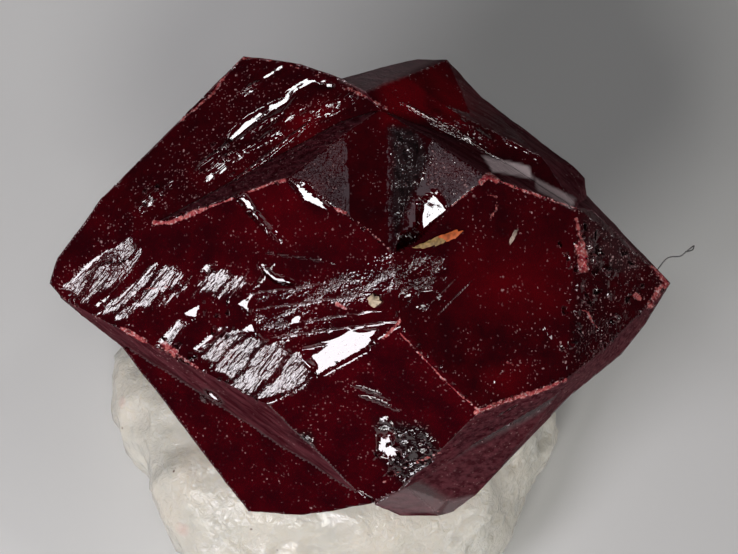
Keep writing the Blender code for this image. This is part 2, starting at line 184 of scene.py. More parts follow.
# What the skin is like, and where, as read off the face. Striated places have growth steps, terraced
# ones flaked off in steps, and streaks are growth ridges. A wall faces the floor and is painted darker
# as shade.
MARKS = {
    "striated": [
        Patch([(-8.61, -0.10), (-7.51, 0.76), (-6.65, 1.36), (-6.25, 0.90), (-7.05, -0.10),
               (-8.05, -0.55)], 0.20, 1.15),
        Patch([(-7.60, -0.75), (-6.60, 0.00), (-6.20, -0.20), (-6.70, -1.10)], 0.35),
        Patch([(-6.62, -0.03), (-6.24, 0.24), (-5.82, 0.55), (-5.44, 0.51), (-4.98, 0.36),
               (-4.98, -0.06), (-5.59, -0.56), (-6.20, -0.79), (-6.58, -0.56)], 0.20, 0.86),
        Patch([(-4.68, 0.09), (-4.29, 0.51), (-3.76, 0.36), (-3.30, 0.16), (-2.92, 0.04),
               (-3.46, -0.22), (-3.99, -0.33), (-4.60, -0.22)], 0.20, 0.86),
        Patch([(-4.70, -1.94), (-3.99, -1.30), (-3.10, -1.42), (-2.20, -1.75), (-1.16, -2.30),
               (-1.55, -3.00), (-2.60, -3.25), (-3.30, -3.20)], 0.20),
        Patch([(-5.80, -1.75), (-5.20, -1.05), (-4.90, -1.10), (-5.50, -1.90)], 0.20),
    ],
    "terraced": [
        Patch([(-3.00, -0.30), (-1.20, 0.20), (0.90, 0.85), (1.20, 0.30), (0.40, -0.25),
               (-1.20, -0.55), (-2.40, -0.60)], 0.50),
        Patch([(0.90, 0.20), (1.60, 0.95), (2.35, 0.75), (2.30, 0.25), (1.30, -0.35)], 0.40),
        Patch([(-3.10, -0.75), (-1.40, -0.55), (-0.60, -0.85), (-0.90, -1.25), (-2.20, -1.50),
               (-3.00, -1.20)], 0.40, 0.8),
    ],
    "streak": [
        Line([(-3.40, 5.60), (-3.00, 5.90)], 0.20, 0.6),
        Line([(-2.60, 4.72), (-1.80, 5.10), (-1.20, 5.30)], 0.30, 0.55),
        Line([(-4.55, 3.25), (-4.00, 3.62), (-3.55, 3.92)], 0.34, 0.8),
        Line([(-4.10, 3.95), (-3.20, 4.40), (-2.40, 4.75)], 0.24, 0.7),
        Line([(-3.47, 3.90), (-2.31, 4.48)], 0.20, 0.7),
        Line([(-1.60, 4.90), (-0.90, 5.22), (-0.30, 5.40)], 0.26, 0.8),
        Line([(-6.45, 2.25), (-6.05, 2.62), (-5.78, 2.70)], 0.26, 0.8),
        Line([(2.20, 4.90), (2.70, 4.62), (3.00, 4.50)], 0.18, 0.7),
        Line([(2.90, 4.72), (3.30, 4.45), (3.76, 4.15)], 0.24),
        Line([(4.33, 4.25), (4.80, 4.05), (5.20, 3.76)], 0.22, 0.9),
        Line([(-3.50, 2.40), (-3.03, 2.02), (-2.31, 1.30)], 0.10, 0.6),
        Line([(-3.20, 2.46), (-2.70, 1.90), (-2.40, 1.55)], 0.08, 0.5),
        Line([(-2.83, 0.58), (-2.60, 0.30), (-2.25, 0.12)], 0.14, 0.8),
        Line([(-0.10, -2.80), (0.25, -2.62), (0.60, -2.70)], 0.20, 0.20),
        Line([(1.05, 4.25), (1.22, 3.75), (1.30, 3.30)], 0.12, 0.9),
        Line([(1.55, 4.05), (1.48, 3.40), (1.60, 3.00)], 0.11, 0.8),
        Line([(1.00, 3.20), (1.15, 2.60), (1.10, 2.10)], 0.11, 0.8),
        Line([(1.35, 2.90), (1.20, 2.35)], 0.09, 0.7),
    ],
    "broken": [
        Patch([(6.30, 2.10), (6.00, -2.50), (7.20, -1.70), (7.90, -0.50), (8.95, 0.05),
               (7.60, 1.30)], 0.30, 0.30),
        Patch([(6.60, 1.30), (6.90, -0.40), (7.70, -0.30), (7.60, 0.80)], 0.60, 0.5),
        Patch([(0.40, -3.85), (1.90, -3.95), (2.30, -4.70), (2.10, -5.40), (1.20, -5.70),
               (0.60, -5.00)], 0.35),
        Patch([(2.60, -4.35), (4.60, -3.45), (5.90, -2.80), (5.90, -3.05), (5.00, -3.75),
               (2.80, -4.90)], 0.20),
        Patch([(0.80, 4.55), (1.50, 4.50), (2.00, 3.60), (1.60, 2.80), (0.95, 1.00), (0.85, 2.40),
               (0.95, 3.60)], 0.25),
        Patch([(-2.10, -4.20), (-1.40, -4.20), (-1.30, -4.60), (-2.10, -4.60)], 0.25),
        Patch([(-4.60, -3.00), (-4.10, -3.05), (-4.10, -3.40), (-4.60, -3.30)], 0.25),
    ],
    # Glowing places: a brighter red painted into the colour as a glow of light shining through.
    "glowing": [
        Patch([(-3.10, 2.90), (-1.70, 3.10), (-1.30, 1.70), (-3.20, 1.60)], 1.40, 0.45),
        Patch([(2.80, 0.70), (5.40, 0.90), (5.60, -0.60), (3.00, -0.50)], 1.60, 0.75),
        Patch([(0.55, 5.90), (1.90, 6.00), (2.00, 4.80), (0.70, 4.60)], 0.40),
        Patch([(-2.00, 4.90), (-1.00, 5.20), (-1.20, 4.20), (-2.40, 4.10)], 0.80),
        Patch([(2.00, 6.30), (3.60, 5.00), (2.40, 4.80)], 1.00, 1.6),
        Patch([(3.60, -2.60), (4.60, -2.40), (4.40, -3.10)], 0.80),
    ],
    # Pale places: a paler colour painted in as a grey sheen on the skin.
    "painted_sheen": [
        Patch([(-0.55, 5.92), (0.87, 6.40), (2.46, 6.60), (1.30, 6.04), (0.14, 5.58)], 0.15, 0.25),
        Patch([(6.45, 1.95), (7.40, 1.55), (8.30, 0.75), (7.70, 0.30), (6.60, 0.60)], 0.50, 0.018),
        Patch([(0.85, 4.50), (1.50, 4.50), (1.95, 3.60), (1.60, 2.80), (1.00, 2.00),
               (0.90, 3.20)], 0.20, 0.012),
        Patch([(3.50, 3.72), (4.85, 3.40), (4.95, 3.05), (3.80, 3.25)], 0.06),
        Patch([(5.00, 3.10), (6.20, 2.50), (6.10, 2.20), (5.10, 2.70)], 0.06, 0.5),
        Patch([(0.43, -6.30), (1.30, -5.81), (2.46, -6.27), (2.17, -6.56),
               (1.16, -6.62)], 0.05, 0.11),
        Patch([(2.60, -6.21), (3.30, -6.10), (3.20, -6.40), (2.75, -6.60),
               (2.35, -6.58)], 0.05, 0.09),
    ],
    # A wall painted darker, as shade.
    "wall": [
        Patch([(1.60, -5.60), (3.00, -4.75), (4.50, -4.00), (5.80, -3.30), (4.80, -4.60),
               (4.00, -5.50), (3.40, -6.10), (2.70, -6.25)], 0.20, 0.9),
    ],
    "dusty": [
        Patch([(1.95, 4.30), (3.55, 3.10), (2.50, 2.35), (1.90, 2.90)], 0.15, 1.6),
        Patch([(-8.50, 0.20), (-3.20, 6.40), (0.20, 5.60), (-2.20, 3.40),
               (-6.20, 1.70)], 1.00, 1.5),
        Patch([(-2.10, 2.90), (-0.50, 4.60), (-0.45, 2.20)], 0.20, 1.5),
        Patch([(6.30, 2.10), (6.00, -2.50), (7.20, -1.70), (7.90, -0.50), (8.95, 0.05),
               (7.60, 1.30)], 0.30, 1.6),
        Patch([(3.60, -2.60), (6.20, 0.30), (6.10, -2.40), (4.60, -3.20)], 1.20, 0.7),
    ],
    "scoured": [
        Patch([(-2.10, 2.95), (-0.42, 4.70), (-0.42, 2.10), (-1.10, 2.20)], 0.15),
        Patch([(2.00, 4.40), (3.55, 3.10), (2.50, 2.35), (1.90, 2.90)], 0.15),
        Patch([(6.20, -1.20), (8.80, -0.30), (7.60, -1.60), (6.20, -2.60)], 0.30),
    ],
    "bruised": [
        Line([(-5.92, 1.80), (-5.45, 1.80), (-5.05, 1.97), (-4.60, 2.15)], 0.13, 1.0),
        Line([(-4.60, 2.15), (-3.60, 2.50), (-2.40, 2.95)], 0.09, 0.85),
        Line([(-2.30, 2.95), (-2.02, 3.05), (-1.85, 2.95)], 0.12, 1.0),
        Line([(-1.10, 2.15), (-0.75, 2.20), (-0.40, 2.05)], 0.13, 0.95),
        Line([(-0.40, 2.05), (0.20, 1.60), (0.90, 0.95)], 0.07, 0.70),
        Line([(2.48, 2.17), (3.67, 3.09)], 0.08, 0.62),
        Line([(3.45, 2.95), (3.67, 3.15), (3.90, 2.98)], 0.17, 1.2),
        Line([(3.67, 3.09), (4.60, 2.75), (5.30, 2.50)], 0.11, 0.85),
        Line([(5.30, 2.50), (6.21, 2.22)], 0.08, 0.70),
        Line([(0.66, -1.50), (1.15, -1.00)], 0.10, 0.85),
        Line([(1.15, -1.35), (2.00, -2.30), (2.60, -2.90), (3.41, -3.58)], 0.06, 0.82),
        Line([(3.30, -3.62), (4.20, -3.30), (5.50, -2.90), (5.92, -2.70)], 0.15, 0.92),
        Line([(0.50, -5.75), (1.50, -5.10), (2.30, -4.80)], 0.11, 0.62),
        Line([(-8.67, -0.38), (-6.20, -1.62), (-4.19, -2.74), (-2.66, -3.41)], 0.10, 0.42),
        Line([(-6.90, -1.25), (-6.50, -1.48), (-6.20, -1.62)], 0.14, 0.95),
        Line([(-5.60, -1.75), (-5.35, -1.95)], 0.26, 1.05),
        Line([(-5.20, -2.05), (-4.70, -2.35)], 0.14, 0.85),
        Line([(-5.20, 4.75), (-4.33, 5.49), (-3.47, 6.55), (-3.20, 6.60)], 0.12, 0.72),
        Line([(-3.20, 6.55), (-2.20, 6.42), (-1.20, 6.05)], 0.10, 0.62),
        Line([(-0.65, -0.55), (-0.45, -0.65)], 0.12, 1.0),
        Line([(8.40, -0.60), (8.60, -0.20), (8.90, 0.05), (8.50, 0.50)], 0.30, 0.78),
        Line([(6.32, 1.10), (6.42, 0.80), (6.38, 0.50)], 0.30, 1.15),
        Line([(6.20, 1.90), (6.35, 1.30)], 0.16, 0.70),
        Line([(7.95, -0.30), (8.05, -0.38)], 0.14, 1.3),
        Line([(6.38, -0.74), (6.55, -0.77), (6.66, -1.04), (6.82, -1.21)], 0.07, 0.9),
        Line([(3.95, 2.35), (3.75, 1.90)], 0.14, 0.70),
        Line([(3.60, 2.60), (3.95, 2.50)], 0.12, 0.60),
        Line([(-0.40, 5.65), (0.40, 5.30), (0.75, 5.05)], 0.16, 0.66),
        Line([(4.20, -2.20), (4.35, -2.25)], 0.10, 0.8),
        Line([(-6.20, -0.10), (-5.60, -0.05)], 0.10, 0.7),
        Line([(-3.40, -1.10), (-3.20, -1.20)], 0.16, 0.75),
    ],
}
# The planes of chips and splinters: how steeply each climbs to the right and upwards.
LOW_PLANE = (0.339, 0.235)
HIGH_PLANE = (0.307, -0.287)
UPPER_PLANE = (0.299, -0.270)
RIGHT_PLANE = (-0.558, 0.053)
# Clean chips: the outline, the point that the plane turns about, which plane, and its polish.
CLEAN_CHIPS = [
    (Patch([(-1.60, -2.10), (-1.22, -1.72), (-0.78, -1.42), (-0.30, -1.30), (0.60, -1.22),
            (0.20, -1.84), (-0.50, -2.24), (-1.20, -2.62)], 0.08),
     (-0.45, -1.38), LOW_PLANE, 1.0),
    (Patch([(-2.08, -0.90), (-1.85, -0.78), (-1.62, -0.92), (-1.66, -1.12), (-1.95, -1.16)], 0.08),
     (-1.85, -0.90), LOW_PLANE, 1.0),
    (Patch([(-3.60, -0.50), (-3.10, -0.35), (-3.15, -0.85)], 0.08), (-3.40, -0.45), LOW_PLANE, 1.0),
    (Patch([(-5.20, -0.85), (-4.55, -0.60), (-4.65, -1.05)], 0.08), (-5.00, -0.75), LOW_PLANE, 1.0),
    (Patch([(-3.50, -1.20), (-3.05, -1.10), (-2.90, -1.50)], 0.08), (-3.20, -1.15), LOW_PLANE, 1.0),
    (Patch([(-2.05, 3.03), (-1.55, 2.85), (-1.10, 2.45), (-0.72, 2.05), (-1.15, 1.98),
            (-1.65, 2.45)], 0.06),
     (-1.50, 2.36), HIGH_PLANE, 1.0),
    (Patch([(1.69, 2.38), (2.18, 2.68), (2.52, 2.14), (2.15, 1.84), (1.60, 1.30), (1.05, 1.02),
            (1.15, 1.38), (1.60, 1.66)], 0.07),
     (2.52, 2.24), HIGH_PLANE, 1.0),
    (Patch([(0.50, -4.30), (0.92, -4.25), (1.08, -4.75), (0.82, -5.00), (0.48, -4.75)], 0.08),
     (0.82, -5.00), LOW_PLANE, 1.0),
    (Patch([(-2.85, 0.62), (-2.62, 0.44), (-2.35, 0.24), (-1.95, 0.14), (-1.90, 0.02),
            (-2.42, 0.05), (-2.72, 0.30)], 0.05),
     (-2.85, 0.62), LOW_PLANE, 1.0),
    (Patch([(-3.55, 2.56), (-3.24, 2.60), (-2.95, 2.12), (-3.22, 2.10)], 0.05),
     (-3.22, 2.10), UPPER_PLANE, 1.0),
    (Patch([(-3.20, 2.08), (-2.95, 2.10), (-2.68, 1.72), (-2.43, 1.28), (-2.66, 1.44),
            (-2.98, 1.84)], 0.05),
     (-2.43, 1.28), UPPER_PLANE, 1.0),
    (Patch([(-3.90, 4.24), (-3.22, 4.86), (-2.75, 5.12), (-2.28, 5.42), (-1.95, 5.72),
            (-1.60, 5.96), (-1.36, 5.95), (-0.74, 5.82), (-0.72, 5.66), (-1.40, 5.72),
            (-1.74, 5.55), (-2.08, 5.22), (-2.60, 4.92), (-3.10, 4.60), (-3.70, 4.12)], 0.05),
     (-1.60, 5.96), UPPER_PLANE, 1.0),
    (Patch([(-2.98, 5.94), (-2.60, 6.24), (-2.16, 6.44), (-2.10, 6.28), (-2.48, 6.05),
            (-2.80, 5.88)], 0.05),
     (-2.16, 6.44), UPPER_PLANE, 1.0),
]
# Splinters: from where to where, how wide, along which plane, and their polish. All are this deep.
SPLINTER_DEPTH = 0.03
SPLINTERS = [
    ((-2.92, 4.54), (-2.20, 4.88), 0.09, UPPER_PLANE, 0.95),
    ((-3.10, 4.35), (-2.50, 4.75), 0.10, UPPER_PLANE, 0.80),
    ((-1.13, 4.71), (-0.35, 5.09), 0.08, UPPER_PLANE, 0.80),
    ((-5.62, 2.72), (-5.30, 3.00), 0.12, UPPER_PLANE, 0.80),
    ((1.40, 0.29), (1.99, 0.72), 0.18, RIGHT_PLANE, 0.9),
    ((1.14, -0.43), (1.60, -0.17), 0.24, RIGHT_PLANE, 0.9),
    ((1.60, -0.75), (1.97, -0.56), 0.12, RIGHT_PLANE, 0.9),
    ((2.13, -0.49), (2.46, -0.34), 0.18, RIGHT_PLANE, 0.9),
    ((1.79, -0.23), (2.25, -0.14), 0.10, RIGHT_PLANE, 0.9),
    ((2.17, 0.32), (2.46, 0.49), 0.06, RIGHT_PLANE, 0.9),
    ((5.34, -1.22), (5.42, -1.62), 0.16, RIGHT_PLANE, 0.9),
    ((-4.45, -3.05), (-4.02, -3.38), 0.15, LOW_PLANE, 1.0),
    ((7.20, -0.10), (7.35, 0.25), 0.14, RIGHT_PLANE, 0.9),
    ((7.45, 0.10), (7.50, 0.30), 0.08, RIGHT_PLANE, 0.9),
    ((6.80, 1.20), (6.90, 1.35), 0.09, RIGHT_PLANE, 0.9),
    ((7.00, 0.50), (7.08, 0.75), 0.08, RIGHT_PLANE, 0.9),
]
# How steeply the plain left and right faces climb to the right and upwards, and where the solid's
# coarse steps are rubbed down to them: the outline, and the point that the plain face turns about.
LEFT_FACE = (0.479, 0.047)
RIGHT_FACE = (-0.4535, -0.0445)
RUBBED = [
    (Patch([(-3.60, -0.10), (-0.20, 0.60), (0.20, 0.10), (0.90, -1.10), (-1.60, -1.65),
            (-3.00, -1.50)], 0.15, 0.7),
     (-2.00, 1.60), LEFT_FACE),
    (Patch([(-8.70, -0.30), (-7.60, 1.00), (-6.50, 1.70), (-3.00, 1.30), (-0.60, 1.10),
            (-0.60, 0.62), (-2.50, 0.62), (-3.20, 0.00), (-3.50, -0.60), (-2.90, -1.30),
            (-1.70, -1.75), (-1.00, -2.30), (-1.30, -3.10), (-2.70, -3.45), (-4.30, -2.75),
            (-6.20, -1.65), (-8.00, -0.75)], 0.15),
     (-2.00, 1.60), LEFT_FACE),
    (Patch([(1.25, 0.60), (2.90, 0.95), (3.90, 0.70), (3.30, -0.40), (2.10, -1.60),
            (1.00, -1.20)], 0.15),
     (3.20, -0.60), RIGHT_FACE),
]
# Growth steps: the way they dip, the width of a tread, and how far and how often its edge wanders.
STEP_DIP = Vector((0.140, -0.188))
STEP_WIDTH = 0.60
STEP_WANDER = 0.45
STEP_WANDER_RATE = 0.8
# Streaks: how high their ridges are, how much of that is even, and how often the rest swells.
RIDGE_HEIGHT = 0.075
RIDGE_EVEN = 0.7
RIDGE_RATE = 2.5
# Broken places: how large a chip is, how steep, and the share of that in the flattest chips and how
# much more the steepest have.
CHIP = 0.28
CHIP_SLOPE = 0.50
CHIP_LEAST = 0.6
CHIP_MOST = 2.6
# Flaked terraces: which way they run, how slim they are, how steep, their common tilt, and how they
# crowd: the middle share and the spread, the clusters to a millimetre both ways, and the least share.
FLAKE_RUN = Vector((0.84, 0.54))
FLAKE_SLIMNESS = 2.2
FLAKE_SLOPE = 0.12
FLAKE_TILT = (-0.04, 0.095)
CROWD_MIDDLE = 0.5
CROWD_SPREAD = 2.4
CROWD_RATES = (1.1, 3.4)
CROWD_LEAST = 0.3
# Wear of the outline: how far it goes, how often to a millimetre, and which piece of the noise.
WEAR = [(0.030, 1.1, 3.0), (0.014, 4.0, 11.0)]
# A facet turned from the eye past this starts to be a wall, and over this much more it is all wall.
# Walls are painted darker, as shade.
WALL_FROM = 0.66
WALL_FADE = 0.12


def chipped(x, y, slope, tilt=(0.0, 0.0)):
    """Height where the skin broke into flat chips, each leaning its own way about a common tilt."""
    column, row = math.floor(x / CHIP), math.floor(y / CHIP)
    nearest = math.inf
    for a in (column - 1, column, column + 1):
        for b in (row - 1, row, row + 1):
            middle = noise.cell_vector(Vector((a, b, 0.5)))
            dx, dy = x - (a + middle.x) * CHIP, y - (b + middle.y) * CHIP
            if dx * dx + dy * dy < nearest:
                nearest = dx * dx + dy * dy
                lean = noise.cell_vector(Vector((a, b, 7.5)))
                steep = slope * (CHIP_LEAST + CHIP_MOST * lean.z ** 3)
                climb = tilt[0] + steep * (lean.x - 0.5), tilt[1] + steep * (lean.y - 0.5)
                height = climb[0] * dx + climb[1] * dy
    return height


def with_flakes(x, y):
    """The place counted along and across the run of the flaked terraces."""
    return x * FLAKE_RUN.x + y * FLAKE_RUN.y, y * FLAKE_RUN.x - x * FLAKE_RUN.y


def crowded(x, y):
    """The share of the terraces' strength at this place, where they crowd or thin out."""
    along, across = with_flakes(x, y)
    dice = noise.noise(Vector((along * CROWD_RATES[0], across * CROWD_RATES[1], 8.0)))
    return min(1.0, max(CROWD_LEAST, CROWD_MIDDLE + CROWD_SPREAD * dice))


def relief(x, y, share):
    """How far the crystal's skin stands out here, in millimetres."""
    height = 0.0
    if share["striated"]:
        down = (x * STEP_DIP.x + y * STEP_DIP.y) / STEP_DIP.length
        wander = noise.noise(Vector((x * STEP_WANDER_RATE, y * STEP_WANDER_RATE, 2.0)))
        step = (down + STEP_WANDER * wander) / STEP_WIDTH
        height -= share["striated"] * STEP_DIP.length * STEP_WIDTH * (step - math.floor(step))
    if share["streak"]:
        swell = RIDGE_EVEN + noise.noise(Vector((x * RIDGE_RATE, y * RIDGE_RATE, 5.0)))
        height += share["streak"] * RIDGE_HEIGHT * swell
    if share["broken"]:
        height += share["broken"] * chipped(x, y, CHIP_SLOPE)
    if share["terraced"]:
        along, across = with_flakes(x, y)
        flake = chipped(along, across * FLAKE_SLIMNESS, FLAKE_SLOPE, FLAKE_TILT)
        height += share["terraced"] * flake
    return height


crystal_form = copied_form("cinnabar_crystal")
gridded(crystal_form, GRID)
skin = BVHTree.FromBMesh(crystal_form)


def skin_height(x, y):
    """How high the plain facets lie at this place."""
    return skin.ray_cast((x, y, MIDDLE_HEIGHT), (0, 0, -1))[0].z


def on_skin(places, depth=0.0):
    """The places with the points that their planes turn about, this deep under the skin."""
    return [
        (patch, Vector((*turn, skin_height(*turn) - depth)), *plane) for patch, turn, *plane in places
    ]


def cut_down(height, x, y, patch, turn, slope):
    """The height once the patch is cut down to its plane."""
    plane = turn.z + slope[0] * (x - turn.x) + slope[1] * (y - turn.y)
    return height + patch.cover(x, y) * (min(height, plane) - height)


def worn_sideways(place, axis):
    """How far wear moves a point along this axis, so that no edge is quite straight."""
    return sum(
        reach * noise.noise(place * rate + Vector((0, 0, piece + 50 * axis)))
        for reach, rate, piece in WEAR
    )


# A splinter's outline, as shares of its length and its width, and how soft its edge is.
SPLINTER_SHAPE = [(0.0, 0.0), (0.25, 0.4), (0.65, 0.5), (1.0, 0.0), (0.8, -0.4), (0.3, -0.5)]
SPLINTER_SOFT = 0.05


def splintered(start, end, width, slope, polish):
    """A splinter's place: a slim outline, and its turning point where it first meets the skin."""
    start, end = Vector(start), Vector(end)
    run = end - start
    side = Vector((-run.y, run.x)).normalized() * width
    outline = [tuple(start + run * t + side * u) for t, u in SPLINTER_SHAPE]
    x, y = start + run * 0.5
    here = skin_height(x, y)
    facet = (skin_height(x + WELD, y) - here) / WELD, (skin_height(x, y + WELD) - here) / WELD
    rise = Vector((slope[0] - facet[0], slope[1] - facet[1]))
    turn = max(outline, key=lambda p: rise.dot(Vector(p)))
    return Patch(outline, SPLINTER_SOFT), turn, slope, polish


splinters = [splintered(*splinter) for splinter in SPLINTERS]
clean_chips = on_skin(CLEAN_CHIPS) + on_skin(splinters, SPLINTER_DEPTH)
rubbed = on_skin(RUBBED)
layers = {mark: crystal_form.verts.layers.float.new(mark) for mark in MARKS}
moved = {}
for v in crystal_form.verts:
    if v.normal.z < 0:
        continue
    x, y, z = v.co
    share = {mark: max(place.cover(x, y) for place in places) for mark, places in MARKS.items()}
    # Facets turned from the eye count as walls, which the material paints darker as shade.
    share["wall"] = min(1.0, max(share["wall"], (WALL_FROM - v.normal.z) / WALL_FADE))
    share["terraced"] *= crowded(x, y)
    for place in rubbed:
        z = cut_down(z, x, y, *place)
    height = z + relief(x, y, share)
    kept = 1.0
    for *place, polish in clean_chips:
        height = cut_down(height, x, y, *place)
        kept = min(kept, 1 - polish * place[0].cover(x, y, CLEARANCE))
    for mark, layer in layers.items():
        v[layer] = share[mark] * kept
    sideways = worn_sideways(v.co, 0), worn_sideways(v.co, 1)
    moved[v] = Vector((x + sideways[0], y + sideways[1], height))
for v, place in moved.items():
    v.co = place

crystal = finished_piece("crystal", crystal_form, SHARP)
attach(crystal, "root")
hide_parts("cinnabar_crystal")


class Recipe:
    """A material's nodes, added one at a time and joined by what each takes in."""

    def __init__(self, name):
        self.material = bpy.data.materials.new(name)
        self.material.use_nodes = True
        self.tree = self.material.node_tree
        self.shader = self.tree.nodes["Principled BSDF"].inputs
        self.output = self.tree.nodes["Material Output"].inputs

    def put(self, socket, value):
        if isinstance(value, bpy.types.NodeSocket):
            self.tree.links.new(value, socket)
        elif isinstance(value, tuple) and socket.type == "RGBA":
            socket.default_value = (*value, 1.0)
        else:
            socket.default_value = value

    def add(self, kind, inputs=(), out=0, **settings):
        node = self.tree.nodes.new("ShaderNode" + kind)
        for setting, value in settings.items():
            setattr(node, setting, value)
        for key, value in dict(inputs).items():
            self.put(node.inputs[key], value)
        return node.outputs[out]

    def math(self, operation, a, b=0.0):
        return self.add("Math", {0: a, 1: b}, operation=operation)

    def product(self, a, b):
        return self.math("MULTIPLY", a, b)

    def total(self, *values):
        whole = values[0]
        for value in values[1:]:
            whole = self.math("ADD", whole, value)
        return whole

    def mark(self, name):
        return self.add("Attribute", out="Fac", attribute_name=name)

    def ramp(self, value, low, high, to_low=0.0, to_high=1.0):
        return self.add("MapRange", {0: value, 1: low, 2: high, 3: to_low, 4: to_high})

    def mix(self, share, a, b):
        node = self.tree.nodes.new("ShaderNodeMix")
        node.data_type = "RGBA"
        for key, value in ((0, share), (6, a), (7, b)):
            self.put(node.inputs[key], value)
        return node.outputs[2]


# Cinnabar is nearly black red. Where light would shine through it, a brighter red is painted in as that
# glow. Its broken places are darker, its walls are painted darker as shade, pale places are a painted
# sheen, and a bruised edge is crushed to scarlet powder.
DEEP_RED = (0.026, 0.0001, 0.0020)
# A painted glow.
GLOWING_RED = (0.125, 0.0002, 0.0032)
BROKEN_RED = (0.012, 0.002, 0.003)
# Wall colours: a painted shade, with paler etched ribs.
SHADED_RIB_DARK = (0.010, 0.0004, 0.0010)
SHADED_RIB_PALE = (0.090, 0.026, 0.032)
# A painted sheen.
SHEEN_PALE = (0.75, 0.61, 0.62)
CRUSHED_DARK = (0.24, 0.010, 0.022)
CRUSHED_SCARLET = (0.46, 0.11, 0.10)
CRUSHED_PALE = (0.55, 0.33, 0.33)
DUST = (0.40, 0.25, 0.25)
# A dark red tint on the walls' gloss paints out the floor's reflection in them, as shade.
WALL_SHADE_GLOSS = (0.50, 0.03, 0.09)
WHITE_GLOSS = (1.0, 1.0, 1.0)

red = Recipe("cinnabar")
# The drawing's own millimetres: object coordinates taken down and turned back from the lean.
on_face = red.add("Mapping", {
    "Vector": red.add("TexCoord", out="Object"),
    "Location": (0, -MIDDLE_HEIGHT * math.sin(LEAN_BACK), -MIDDLE_HEIGHT * math.cos(LEAN_BACK)),
    "Rotation": (-LEAN_BACK, 0, 0),
    "Scale": (1 / MM, 1 / MM, 1 / MM),
})


def streaky(turn, across, along, detail):
    """Noise drawn out in the direction of this many degrees on the face."""
    turned = red.add("Mapping", {"Vector": on_face, "Rotation": (0, 0, -math.radians(turn))})
    drawn = red.add("Mapping", {"Vector": turned, "Scale": (along, across, across)})
    return red.add("TexNoise", {"Vector": drawn, "Scale": 1.0, "Detail": detail, "Roughness": 0.6})


striae = streaky(50, 8.0, 0.28, 1.0)
striae_fine = streaky(48, 20.0, 0.7, 1.0)
streaks = streaky(38, 5.0, 1.0, 2.0)
etched = streaky(-30, 6.0, 0.7, 2.0)
scratches = streaky(85, 9.0, 0.8, 1.0)
grain = red.add("TexNoise", {"Vector": on_face, "Scale": 7.0, "Detail": 2.0, "Roughness": 0.6})
grit = red.add("TexNoise", {"Vector": on_face, "Scale": 14.0, "Detail": 1.0, "Roughness": 0.5})
blotch = red.add("TexNoise", {"Vector": on_face, "Scale": 1.1, "Detail": 3.0, "Roughness": 0.6})


def raised(mark, pattern, height):
    """The pattern standing this high in the marked places."""
    return red.product(red.product(red.mark(mark), pattern), height)


height = red.total(
    raised("striated", red.total(striae, red.product(striae_fine, 0.35)), 0.38),
    raised("streak", streaks, 0.9),
    raised("terraced", red.total(grit, red.product(grain, 0.6)), 0.42),
    raised("broken", grain, 0.30),
    raised("wall", red.total(grain, red.product(etched, 2.0)), 0.30),
    raised("scoured", red.total(grit, red.product(scratches, 0.6)), 0.07),
    red.product(grain, 0.012),
)
bump = red.add("Bump", {"Height": height, "Strength": 1.0, "Distance": 0.00010})

ragged = red.total(red.product(grain, 0.9), red.product(blotch, 0.5))
bruise = red.ramp(red.total(red.mark("bruised"), ragged), 1.16, 1.40)
dusty = red.total(blotch, red.product(red.mark("dusty"), 0.25))
crowding = red.ramp(dusty, 0.45, 0.95, -0.12, 0.38)


def specks(scale, radius, rarity, seed):
    """Small round spots in some of the cells of a scattered pattern, more of them where they crowd."""
    rough = red.add("TexNoise", {"Vector": on_face, "Scale": 9.0, "Detail": 1.0}, out="Color")
    shift = red.add("VectorMath", {0: rough, 1: (0.10, 0.10, 0.10)}, operation="MULTIPLY")
    moved = red.add("VectorMath", {0: on_face, 1: shift}, operation="ADD")
    shifted = red.add("Mapping", {"Vector": moved, "Location": (seed, seed, 0)})
    place = {"Vector": shifted, "Scale": scale}
    near = red.add("TexVoronoi", place)
    dice = red.add("SeparateColor", {"Color": red.add("TexVoronoi", place, out="Color")})
    size = red.product(dice, radius)
    spot = red.ramp(red.math("SUBTRACT", size, near), 0.0, radius * 0.4)
    return red.product(spot, red.ramp(red.total(dice, crowding), rarity, rarity + 0.2))


grains = red.product(specks(2.1, 0.12, 0.86, 3.1), 0.9)
flecks = red.product(specks(6.0, 0.26, 0.88, 7.7), 0.8)
powder = red.product(specks(14.0, 0.45, 0.80, 5.5), 0.5)
dust = red.math("MAXIMUM", grains, red.math("MAXIMUM", flecks, powder))

# The painted glow: a brighter red where light would shine through, made patchy with noise.
patchy_glow = red.total(red.product(blotch, 1.2), red.product(grit, 0.35))
depth = red.ramp(red.total(red.mark("glowing"), patchy_glow), 0.60, 1.90)
clear = red.mix(depth, DEEP_RED, GLOWING_RED)
hidden = red.mix(red.mark("broken"), clear, BROKEN_RED)
# Walls are painted dark as shade, with paler etched ribs.
ribbed_and_shaded = red.mix(red.ramp(etched, 0.40, 0.64), SHADED_RIB_DARK, SHADED_RIB_PALE)
shaded_walls = red.mix(red.product(red.mark("wall"), 0.75), hidden, ribbed_and_shaded)
# Pale places get the paler colour of a painted sheen.
body = red.mix(red.mark("painted_sheen"), shaded_walls, SHEEN_PALE)
crushed = red.mix(red.ramp(grain, 0.38, 0.62), CRUSHED_DARK, CRUSHED_SCARLET)
powdered = red.mix(red.ramp(grit, 0.56, 0.66), crushed, CRUSHED_PALE)
worn = red.mix(bruise, body, powdered)
dull = red.math("MAXIMUM", bruise, dust)
polish = red.total(
    red.product(red.mark("striated"), 0.12), red.product(red.mark("wall"), 0.75), 0.06
)
shader = red.shader
red.put(shader["Base Color"], red.mix(dust, worn, DUST))
red.put(shader["Roughness"], red.math("MAXIMUM", red.ramp(dull, 0.0, 1.0, 0.06, 0.45), polish))
